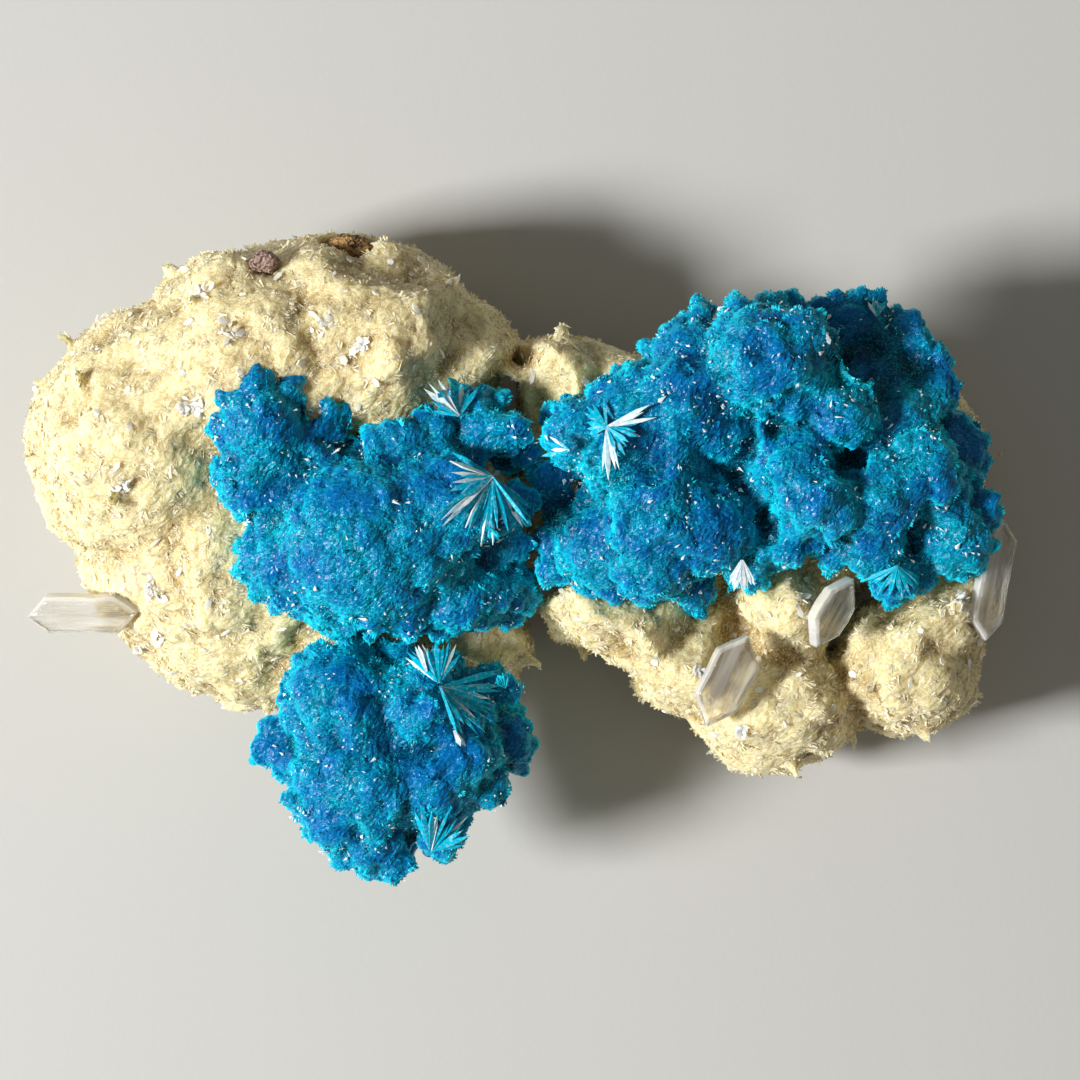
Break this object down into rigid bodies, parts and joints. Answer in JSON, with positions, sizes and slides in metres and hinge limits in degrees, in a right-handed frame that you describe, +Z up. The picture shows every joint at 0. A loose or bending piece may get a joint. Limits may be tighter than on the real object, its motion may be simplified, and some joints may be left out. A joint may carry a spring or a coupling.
{
  "type": "cavansite mineral specimen",
  "caption": "Loose mineral specimen: blue cavansite rosettes on a cream stilbite druse with clear stilbite blades, lying on a flat base.",
  "frame": {"origin": "middle of the specimen's footprint, on the plane that it rests on", "axes": "+X along the specimen's length towards its east end, +Z up, out of the face that shows the cavansite"},
  "size_m": [0.0664, 0.0436, 0.0223],
  "materials": {
    "stilbite_druse": "cream druse of small pearly crystals",
    "cavansite": "vivid blue needle rosettes with turquoise tips, vitreous",
    "clear_stilbite": "clear to milky, pearly on the broad faces",
    "basalt": "rough matte weathered brown"
  },
  "bodies": {
    "root": {"stilbite_matrix": "stilbite_druse", "cavansite_west": "cavansite", "cavansite_east": "cavansite", "cavansite_south": "cavansite", "stilbite_blade_left": "clear_stilbite", "stilbite_blade_front": "clear_stilbite", "stilbite_blade_shaded": "clear_stilbite", "stilbite_blade_right": "clear_stilbite", "basalt_chip_large": "basalt", "basalt_chip_small": "basalt"}
  },
  "joints": []
}
